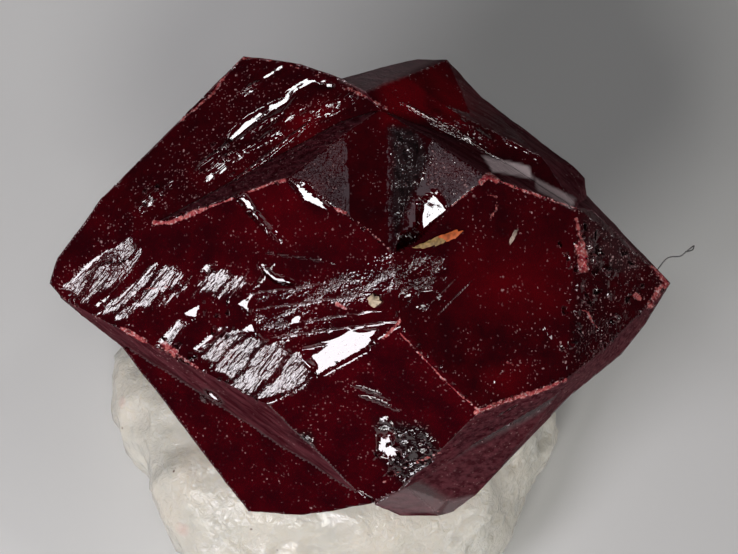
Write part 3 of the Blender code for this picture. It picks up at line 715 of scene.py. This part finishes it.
# The walls' reflections are tinted dark red: painted shade over the floor's reflection.
red.put(shader["Specular Tint"], red.mix(red.mark("wall"), WHITE_GLOSS, WALL_SHADE_GLOSS))
red.put(shader["Transmission Weight"], red.ramp(dull, 0.0, 1.0, 0.22, 0.0))
red.put(shader["Normal"], bump)
shader["IOR"].default_value = 2.9
shader["Specular IOR Level"].default_value = 0.04
absorbed = red.add("VolumeAbsorption", {"Color": (0.80, 0.0, 0.01), "Density": 700.0})
red.put(red.output["Volume"], absorbed)
crystal.data.materials.clear()
crystal.data.materials.append(red.material)

# The tack: a fingertip of white mineral tack, kneaded and pressed flat underneath. Its skin is wrinkled
# and glossy, and grit from the bench sticks to it.

TACK_MIDDLE = Vector((-0.5, -1.8))
TACK_REACH = 6.3
TACK_CUTS = 3
TACK_SHARP = math.radians(60)
# The skin is held under the crystal, up to a share of the reach, and on the floor, and comes free over
# this much more of the reach and this far up.
HELD_SHARE = 0.55
FREE_OVER = 0.3
FREE_ABOVE = 0.6
# How far the skin swells all round, and then how far, in which direction and over how many degrees.
EVEN_SWELL = 0.10
SWELLS = [(0.22, 180, 30), (0.26, 212, 26), (0.12, 330, 25), (0.06, 20, 25)]
# Wrinkles: how high, how many to the millimetre, and which piece of the noise, and the share of the
# height that stands out on a crest.
WRINKLES = [(0.12, 0.45, 0.0), (0.09, 1.1, 9.0), (0.07, 2.4, 21.0), (0.035, 5.0, 33.0)]
CREST = 0.4


def kneaded(form):
    """Stands the tack upright, wrinkles its skin away from the crystal, and turns it back."""
    bmesh.ops.subdivide_edges(form, edges=form.edges, cuts=TACK_CUTS, use_grid_fill=True)
    bmesh.ops.triangulate(form, faces=form.faces)
    upright = Matrix.Scale(1 / MM, 4) @ standing
    bmesh.ops.transform(form, matrix=upright, verts=form.verts)
    form.normal_update()
    moves = []
    for v in form.verts:
        across, along = v.co.x - TACK_MIDDLE.x, v.co.y - TACK_MIDDLE.y
        outward = math.hypot(across, along) / TACK_REACH
        uncovered = min(1.0, max(0.0, (outward - HELD_SHARE) / FREE_OVER))
        free = uncovered * min(1.0, max(0.0, v.co.z / FREE_ABOVE))
        heading = math.degrees(math.atan2(along, across))
        swell = EVEN_SWELL
        for size, middle, spread in SWELLS:
            off = (heading - middle + 180) % 360 - 180
            swell += size * math.exp(-((off / spread) ** 2))
        for size, rate, piece in WRINKLES:
            swell += size * (CREST - 2 * abs(noise.noise(v.co * rate + Vector((piece, 0, 0)))))
        moves.append((v, v.normal * swell * free))
    for v, move in moves:
        v.co += move
        v.co.z = max(v.co.z, 0.0)
    bmesh.ops.transform(form, matrix=upright.inverted(), verts=form.verts)


tack_form = copied_form("putty_mount")
kneaded(tack_form)
tack = finished_piece("tack", tack_form, TACK_SHARP)
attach(tack, "root")
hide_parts("putty_mount")

# Off-white, yellower in places, with specks of ochre, pink and brown grit.
TACK_COOL = (0.56, 0.54, 0.475)
TACK_WARM = (0.63, 0.59, 0.51)
OCHRE_GRIT = (0.42, 0.26, 0.10)
PINK_GRIT = (0.60, 0.25, 0.22)
BROWN_GRIT = (0.12, 0.06, 0.04)

white = Recipe("mineral_tack")
at = white.add("TexCoord", out="Object")
folds = white.add("TexNoise", {"Vector": at, "Scale": 1100.0, "Detail": 3.0, "Roughness": 0.55})
wrinkles = white.add(
    "TexNoise", {"Vector": at, "Scale": 4200.0, "Detail": 3.0, "Roughness": 0.6, "Distortion": 0.6}
)
touched = white.add("TexNoise", {"Vector": at, "Scale": 260.0, "Detail": 1.0})
handled = white.ramp(touched, 0.42, 0.58, 0.12, 1.0)
stain = white.add("TexNoise", {"Vector": at, "Scale": 420.0, "Detail": 2.0, "Roughness": 0.5})


def spotted(scale, radius, rarity, out):
    """Round spots in a few of the cells of a scattered pattern."""
    cells = {"Vector": at, "Scale": scale}
    near = white.add("TexVoronoi", cells)
    dice = white.add("SeparateColor", {"Color": white.add("TexVoronoi", cells, out="Color")}, out=out)
    spot = white.ramp(near, radius * 0.4, radius, 1.0, 0.0)
    return white.product(spot, white.ramp(dice, rarity, rarity + 0.05))


plain = white.mix(white.ramp(stain, 0.40, 0.62), TACK_COOL, TACK_WARM)
ochre = white.mix(white.product(spotted(900.0, 0.24, 0.84, "Green"), 0.6), plain, OCHRE_GRIT)
pink = white.mix(white.product(spotted(600.0, 0.22, 0.85, "Blue"), 0.5), ochre, PINK_GRIT)
shader = white.shader
white.put(shader["Base Color"], white.mix(spotted(1300.0, 0.08, 0.74, "Red"), pink, BROWN_GRIT))
creased = white.product(wrinkles, handled)
fine = white.add("Bump", {"Height": creased, "Strength": 1.0, "Distance": 0.00007})
folded = {"Height": folds, "Strength": 0.7, "Distance": 0.00010, "Normal": fine}
white.put(shader["Normal"], white.add("Bump", folded))
shader["Roughness"].default_value = 0.20
shader["Subsurface Weight"].default_value = 0.5
shader["Subsurface Radius"].default_value = (1.0, 0.85, 0.65)
shader["Subsurface Scale"].default_value = 0.0008
tack.data.materials.clear()
tack.data.materials.append(white.material)

# What lies on the crystal: a dark curl of lint at its right tip, an ochre flake under the notch, a pale
# grain in the middle and a pale sliver beside it.

FIBRE = [
    (8.62, 0.45, 0.25), (8.90, 0.78, 0.45), (9.25, 0.83, 0.55), (9.42, 0.95, 0.62),
    (9.60, 1.10, 0.66), (9.66, 1.13, 0.62), (9.62, 1.02, 0.60), (9.52, 0.98, 0.62),
    (9.40, 0.95, 0.66),
]
FIBRE_RADIUS = 0.018
FIBRE_COLOUR = (0.03, 0.025, 0.025)
SHADE = 0.45
SCRAP_SHARP = math.radians(40)


def finished_scrap(name, form, colour):
    """A dull scrap of this colour, mottled with a darker shade of it."""
    piece = finished_piece(name, form, SCRAP_SHARP)
    look = Recipe(name + "_look")
    at = look.add("TexCoord", out="Object")
    mottle = look.add("TexNoise", {"Vector": at, "Scale": 7000.0, "Detail": 2.0})
    shade = tuple(SHADE * part for part in colour)
    look.put(look.shader["Base Color"], look.mix(look.ramp(mottle, 0.35, 0.60), shade, colour))
    look.shader["Roughness"].default_value = 0.5
    piece.data.materials.append(look.material)
    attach(piece, "root")
    return piece


def tube_along(points, radius, sides=6):
    """A closed tube with this radius along the points."""
    form = bmesh.new()
    for k, point in enumerate(points):
        before, after = points[max(k - 1, 0)], points[min(k + 1, len(points) - 1)]
        turn = (after - before).to_track_quat("Z", "X").to_matrix().to_4x4()
        ring = bmesh.ops.create_circle(
            form,
            cap_ends=k in (0, len(points) - 1),
            segments=sides,
            radius=radius,
            matrix=Matrix.Translation(point) @ turn,
        )
        edges = list(dict.fromkeys(edge for v in ring["verts"] for edge in v.link_edges))
        if k > 0:
            bmesh.ops.bridge_loops(form, edges=last + edges)
        last = edges
    bmesh.ops.recalc_face_normals(form, faces=form.faces)
    return form


def smooth_run(points, per_span=5):
    """The points with more between them, on a curve through them all."""
    ends = [points[0], *points, points[-1]]
    run = []
    for a, b, c, d in zip(ends, ends[1:], ends[2:], ends[3:]):
        for k in range(per_span):
            t = k / per_span
            bend = (2 * a - 5 * b + 4 * c - d) * t * t + (3 * b - a - 3 * c + d) * t ** 3
            run.append(0.5 * (2 * b + (c - a) * t + bend))
    return [*run, points[-1]]


fibre_form = tube_along(smooth_run([Vector(p) for p in FIBRE]), FIBRE_RADIUS)
finished_scrap("lint_fibre", fibre_form, FIBRE_COLOUR)

# Flakes and grains: how many points stand on each side of their outlines, how often these wander, the
# share of the thickness at the rim, and how deep all of them sink in.
SHARD_POINTS = 5
SHARD_RATE = 9
SHARD_RIM = 0.5
SHARD_SINK = 0.05


def shard(outline, thickness, raggedness):
    """A thin ragged shard that lies on the crystal's skin, a little sunk in it."""
    form = bmesh.new()
    for (ax, ay), (bx, by) in zip(outline, outline[1:] + outline[:1]):
        for k in range(SHARD_POINTS):
            t = k / SHARD_POINTS
            x, y = ax + (bx - ax) * t, ay + (by - ay) * t
            shift = raggedness * noise.noise(Vector((x * SHARD_RATE, y * SHARD_RATE, 4.0)))
            form.verts.new((x + shift, y + shift, 0))
    middle = sum((v.co for v in form.verts), Vector()) / len(form.verts)
    under = form.faces.new(form.verts)
    lifted = bmesh.ops.extrude_face_region(form, geom=[under])["geom"]
    over = next(part for part in lifted if isinstance(part, bmesh.types.BMFace))
    for face, height, rim in ((under, -SHARD_SINK, 1.0), (over, thickness, SHARD_RIM)):
        for v in face.verts:
            v.co.z = skin_height(v.co.x, v.co.y) + height * rim
        centre = bmesh.ops.poke(form, faces=[face])["verts"][0]
        centre.co = (middle.x, middle.y, skin_height(middle.x, middle.y) + height)
    bmesh.ops.recalc_face_normals(form, faces=form.faces)
    return form


SHARDS = {
    # name: outline, thickness, how ragged its rim is, colour
    "ochre_flake": ([(1.48, 1.06), (1.95, 1.26), (2.30, 1.42), (2.52, 1.34), (2.35, 1.16),
                     (1.90, 1.06)],
                    0.05, 0.10, (0.44, 0.27, 0.10)),
    "orange_flake": ([(2.25, 1.42), (2.70, 1.52), (2.98, 1.58), (2.72, 1.32), (2.40, 1.22)],
                     0.06, 0.10, (0.62, 0.13, 0.03)),
    "pale_grain": ([(0.22, -0.36), (0.36, -0.26), (0.54, -0.34), (0.58, -0.52), (0.42, -0.64),
                    (0.26, -0.54)],
                   0.20, 0.05, (0.55, 0.43, 0.29)),
    "pale_sliver": ([(4.28, 1.12), (4.42, 1.32), (4.54, 1.60), (4.42, 1.56), (4.30, 1.34)],
                    0.05, 0.05, (0.45, 0.33, 0.27)),
}
for name, (outline, thickness, raggedness, colour) in SHARDS.items():
    finished_scrap(name, shard(outline, thickness, raggedness), colour)

# The setting: a pale floor, soft lamps and the long lens that looks straight onto the crystal's face.

FLOOR_RADIUS = 0.5
FLOOR_SIDES = 96
FLOOR_COLOUR = (0.66, 0.66, 0.645)
WORLD_GREY = (0.012, 0.012, 0.014, 1.0)
LENS = 400.0
SENSOR = 36.0
CLIP_START = 0.01
# The frame is 738 pixels wide, and the crystal's 18 mm take up 623 of them. Its middle is on the face.
FRAME_WIDTH = 738 * 18.0 / 623
FRAME_MIDDLE = (0.26, 0.23, 0.8)

floor_form = bmesh.new()
bmesh.ops.create_circle(floor_form, cap_ends=True, radius=FLOOR_RADIUS, segments=FLOOR_SIDES)
floor_mesh = bpy.data.meshes.new("floor")
floor_form.to_mesh(floor_mesh)
floor_form.free()
floor = bpy.data.objects.new("floor", floor_mesh)
bpy.context.scene.collection.objects.link(floor)
pale = Recipe("pale_card")
pale.put(pale.shader["Base Color"], FLOOR_COLOUR)
pale.put(pale.shader["Roughness"], 0.9)
floor_mesh.materials.append(pale.material)


def aim(thing, place, at):
    """Sets the lamp or the camera up here, turned to look there."""
    thing.location = place
    thing.rotation_euler = (at - place).to_track_quat("-Z", "Y").to_euler()
    bpy.context.scene.collection.objects.link(thing)


looked_at = standing @ Vector(FRAME_MIDDLE)
face_on = (standing.to_3x3() @ Vector((0, 0, 1))).normalized()

camera = bpy.data.objects.new("camera", bpy.data.cameras.new("camera"))
camera.data.lens = LENS
camera.data.sensor_width = SENSOR
camera.data.clip_start = CLIP_START
aim(camera, looked_at + face_on * FRAME_WIDTH * MM * LENS / SENSOR, looked_at)
bpy.context.scene.camera = camera

LAMPS = {
    # name: direction from the crystal, distance and width in metres, radiance, tint
    "key_softbox": ((-0.58, -0.62, 0.53), 0.11, 0.044, 15.0, (0.98, 0.95, 1.0)),
    "front_softbox": ((-0.14, -0.75, 0.65), 0.11, 0.038, 13.0, (1.0, 0.98, 0.96)),
    "eye_softbox": ((0.03, -0.30, 0.95), 0.40, 0.080, 5.5, (1.0, 0.97, 0.98)),
    "high_left_softbox": ((-0.52, 0.22, 0.82), 0.40, 0.050, 18.0, (0.96, 0.98, 1.0)),
    "left_back_card": ((-0.24, 0.49, 0.84), 0.40, 0.075, 0.60, (0.95, 0.90, 1.0)),
    "right_back_card": ((0.25, 0.45, 0.86), 0.40, 0.080, 0.75, (0.95, 0.90, 1.0)),
    "high_right_softbox": ((0.39, 0.28, 0.88), 0.40, 0.032, 19.0, (1.0, 0.98, 0.98)),
    "low_right_softbox": ((0.85, -0.25, 0.45), 0.40, 0.048, 13.0, (1.0, 1.0, 1.0)),
    "right_fill_card": ((0.80, -0.58, 0.12), 0.30, 0.120, 6.5, (1.0, 1.0, 1.0)),
}
for name, (direction, distance, width, radiance, tint) in LAMPS.items():
    lamp = bpy.data.lights.new(name, "AREA")
    lamp.shape = "DISK"
    lamp.size = width
    lamp.energy = radiance * (math.pi * width / 2) ** 2
    lamp.color = tint
    place = looked_at + Vector(direction).normalized() * distance
    aim(bpy.data.objects.new(name, lamp), place, looked_at)

world = bpy.data.worlds.new("studio")
world.use_nodes = True
world.node_tree.nodes["Background"].inputs["Color"].default_value = WORLD_GREY
bpy.context.scene.world = world
bpy.context.scene.view_settings.view_transform = "Standard"
